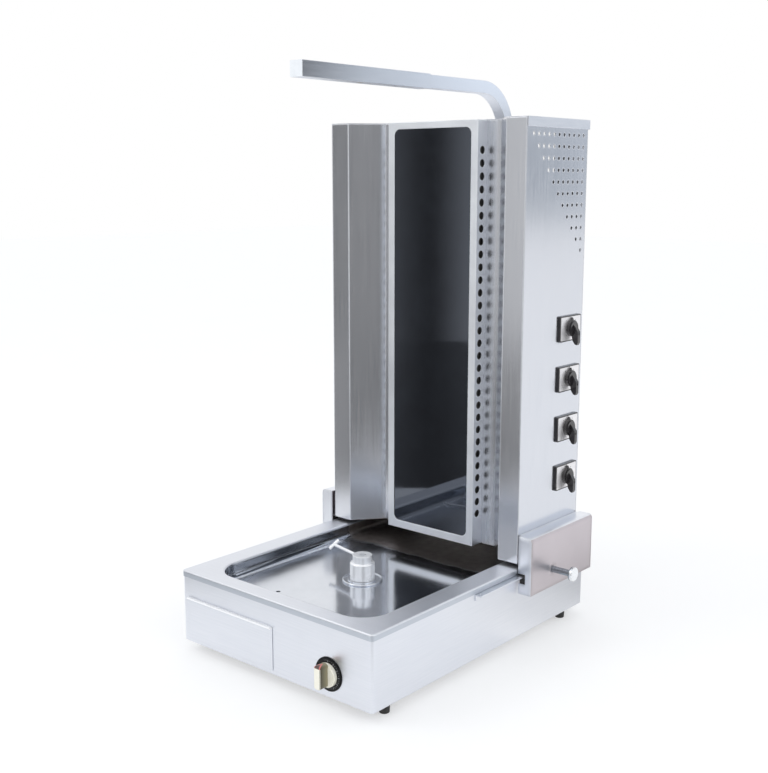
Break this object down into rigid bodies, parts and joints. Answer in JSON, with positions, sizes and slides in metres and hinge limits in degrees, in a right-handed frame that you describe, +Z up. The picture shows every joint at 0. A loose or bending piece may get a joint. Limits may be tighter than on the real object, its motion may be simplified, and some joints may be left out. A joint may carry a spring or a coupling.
{
  "type": "electric doner kebab grill",
  "caption": "Upright electric grill with a glass-fronted sliding heater, driven spit spindle, sunken drip pan, grease drawer and bent overhead arm.",
  "frame": {"origin": "on the floor under the middle of the machine's outline", "axes": "+Z up, -Y out of the front with the drawer and the control knob, +X towards the heater switches"},
  "size_m": [0.656, 0.755, 1.1095],
  "materials": {
    "shell_steel": "brushed",
    "polished_steel": "polished",
    "zinc_steel": "plated",
    "black_glass": "gloss",
    "black_plastic": "fine grain",
    "cream_plastic": "satin gloss",
    "plate_alu": "satin",
    "foot_rubber": "matt",
    "fibre_board": "fibrous",
    "heater_metal": "oxidised",
    "motor_paint": "satin",
    "cast_housing": "cast",
    "bush_brass": "turned",
    "unit_plastic": "moulded"
  },
  "bodies": {
    "base": {"base_shell": "shell_steel", "top_pan": "polished_steel", "bottom_plate": "zinc_steel", "bottom_screws": "zinc_steel", "rubber_feet": "foot_rubber", "foot_screws": "zinc_steel", "drawer_guides": "zinc_steel", "spindle_collar": "polished_steel", "bearing_housing": "cast_housing", "gear_motor": "motor_paint", "motor_bracket": "zinc_steel", "control_dial": "black_plastic", "control_unit": "unit_plastic", "rail_left": "shell_steel", "rail_right": "shell_steel", "arm_post": "shell_steel", "arm_sleeve": "shell_steel", "arm_end_plate": "polished_steel", "spit_bush": "bush_brass", "post_mount": "shell_steel", "post_bolts": "zinc_steel", "cable_gland": "black_plastic"},
    "drawer": {"grease_drawer": "shell_steel"},
    "spindle": {"spindle_hub": "polished_steel", "motor_shaft": "zinc_steel"},
    "spit_clamp": {"clamp_screw": "polished_steel"},
    "front_knob": {"control_knob": "cream_plastic"},
    "heater": {"heater_shell": "shell_steel", "top_cap": "shell_steel", "heater_floor": "heater_metal", "rear_cover": "shell_steel", "cover_screws": "zinc_steel", "glass_frame": "polished_steel", "glass_panel": "black_glass", "side_bracket_left": "shell_steel", "side_bracket_right": "shell_steel", "glides_left": "black_plastic", "glides_right": "black_plastic", "element_tray_1": "fibre_board", "element_tray_2": "fibre_board", "element_tray_3": "fibre_board", "element_tray_4": "fibre_board", "heating_coil_1": "heater_metal", "heating_coil_2": "heater_metal", "heating_coil_3": "heater_metal", "heating_coil_4": "heater_metal", "switch_body_1": "black_plastic", "switch_body_2": "black_plastic", "switch_body_3": "black_plastic", "switch_body_4": "black_plastic", "switch_plate_1": "plate_alu", "switch_plate_2": "plate_alu", "switch_plate_3": "plate_alu", "switch_plate_4": "plate_alu"},
    "clamp_left": {"clamp_knob_left": "polished_steel"},
    "clamp_right": {"clamp_knob_right": "polished_steel"},
    "handle_1": {"switch_handle_1": "black_plastic"},
    "handle_2": {"switch_handle_2": "black_plastic"},
    "handle_3": {"switch_handle_3": "black_plastic"},
    "handle_4": {"switch_handle_4": "black_plastic"}
  },
  "joints": [
    {"name": "heater_slide", "type": "slide", "parent": "base", "child": "heater", "axis": [0, 1, 0], "range_m": [-0.085, 0.025]},
    {"name": "drawer_slide", "type": "slide", "parent": "base", "child": "drawer", "axis": [0, -1, 0], "range_m": [0, 0.165]},
    {"name": "spindle_turn", "type": "hinge", "parent": "base", "child": "spindle", "pos_m": [0, -0.0975, 0.022], "axis": [0, 0, 1], "continuous": true},
    {"name": "spit_clamp_turn", "type": "hinge", "parent": "spindle", "child": "spit_clamp", "pos_m": [0, -0.0975, 0.1772], "axis": [-0.9732, 0.23, 0], "continuous": true},
    {"name": "front_knob_turn", "type": "hinge", "parent": "base", "child": "front_knob", "pos_m": [0.145, -0.3475, 0.065], "axis": [0, -1, 0], "range_deg": [-270, 0]},
    {"name": "clamp_left_turn", "type": "hinge", "parent": "heater", "child": "clamp_left", "pos_m": [-0.3, 0.1575, 0.14975], "axis": [-1, 0, 0], "continuous": true},
    {"name": "clamp_right_turn", "type": "hinge", "parent": "heater", "child": "clamp_right", "pos_m": [0.3, 0.1575, 0.14975], "axis": [1, 0, 0], "continuous": true},
    {"name": "handle_1_turn", "type": "hinge", "parent": "heater", "child": "handle_1", "pos_m": [0.252, 0.2465, 0.3175], "axis": [1, 0, 0], "range_deg": [-45, 45]},
    {"name": "handle_2_turn", "type": "hinge", "parent": "heater", "child": "handle_2", "pos_m": [0.252, 0.2465, 0.418], "axis": [1, 0, 0], "range_deg": [-45, 45]},
    {"name": "handle_3_turn", "type": "hinge", "parent": "heater", "child": "handle_3", "pos_m": [0.252, 0.2465, 0.5185], "axis": [1, 0, 0], "range_deg": [-45, 45]},
    {"name": "handle_4_turn", "type": "hinge", "parent": "heater", "child": "handle_4", "pos_m": [0.252, 0.2465, 0.619], "axis": [1, 0, 0], "range_deg": [-45, 45]}
  ]
}
